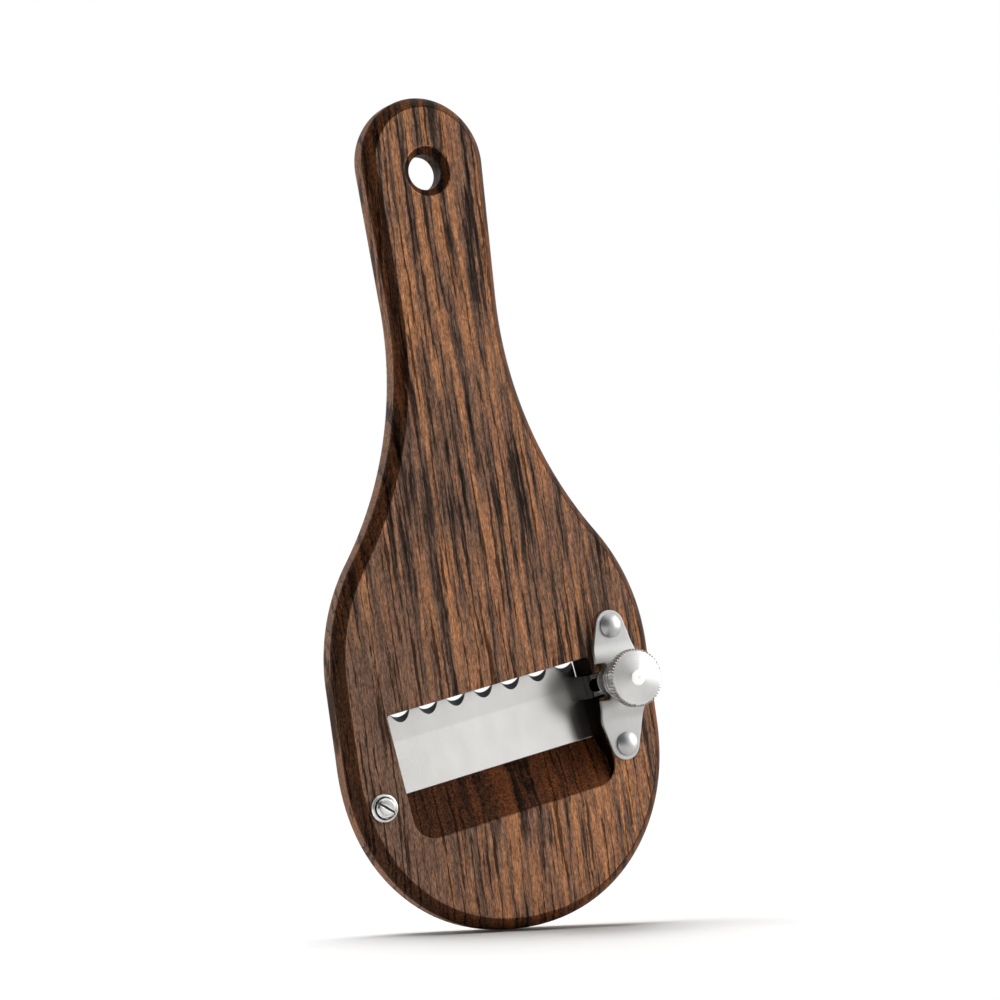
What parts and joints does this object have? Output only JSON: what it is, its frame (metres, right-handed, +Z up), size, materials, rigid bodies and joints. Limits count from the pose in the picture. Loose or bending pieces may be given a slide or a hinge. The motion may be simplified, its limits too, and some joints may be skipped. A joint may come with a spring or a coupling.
{
  "type": "truffle slicer",
  "caption": "Hardwood paddle slicer with a scalloped steel blade in a slanted window, set by a knurled screw knob on a riveted bracket.",
  "frame": {"origin": "on the axis of the hanging hole, in the plane of the back face", "axes": "+Z runs up the handle, away from the base; -Y points out of the front, where the knob is; +X is the knob's side"},
  "size_m": [0.0932, 0.0221, 0.22],
  "materials": {
    "oiled_hardwood": "oiled, satin",
    "blade_steel": "finely brushed across, ground edge",
    "bracket_steel": "brushed lengthwise",
    "turned_steel": "turned, fine lathe marks"
  },
  "bodies": {
    "paddle": {"wooden_body": "oiled_hardwood", "bracket_plate": "bracket_steel", "upper_rivet": "bracket_steel", "lower_rivet": "bracket_steel", "upper_rivet_burr": "bracket_steel", "lower_rivet_burr": "bracket_steel", "pivot_screw": "turned_steel", "screw_cup": "turned_steel", "pivot_nut": "turned_steel"},
    "swinging_blade": {"blade": "blade_steel"},
    "washer": {"thrust_washer": "turned_steel"},
    "knob": {"adjusting_knob": "turned_steel", "knob_stud": "turned_steel"}
  },
  "joints": [
    {"name": "washer_travel", "type": "slide", "parent": "paddle", "child": "washer", "axis": [0, -1, 0], "range_m": [0, 0.0016]},
    {"name": "knob_turn", "type": "hinge", "parent": "washer", "child": "knob", "pos_m": [0.0345, -0.0095, -0.1397], "axis": [0, -1, 0], "range_deg": [0, 820]},
    {"name": "blade_tilt", "type": "hinge", "parent": "paddle", "child": "swinging_blade", "pos_m": [-0.03825, -0.00083, -0.16303], "axis": [0.1217, -0.0523, -0.9912], "range_deg": [0, 1.25]}
  ],
  "couplings": [
    {"joint": "washer_travel", "follows": "knob_turn", "m_per_rad": 0.00011141},
    {"joint": "blade_tilt", "follows": "knob_turn", "ratio": 0.0014844}
  ]
}
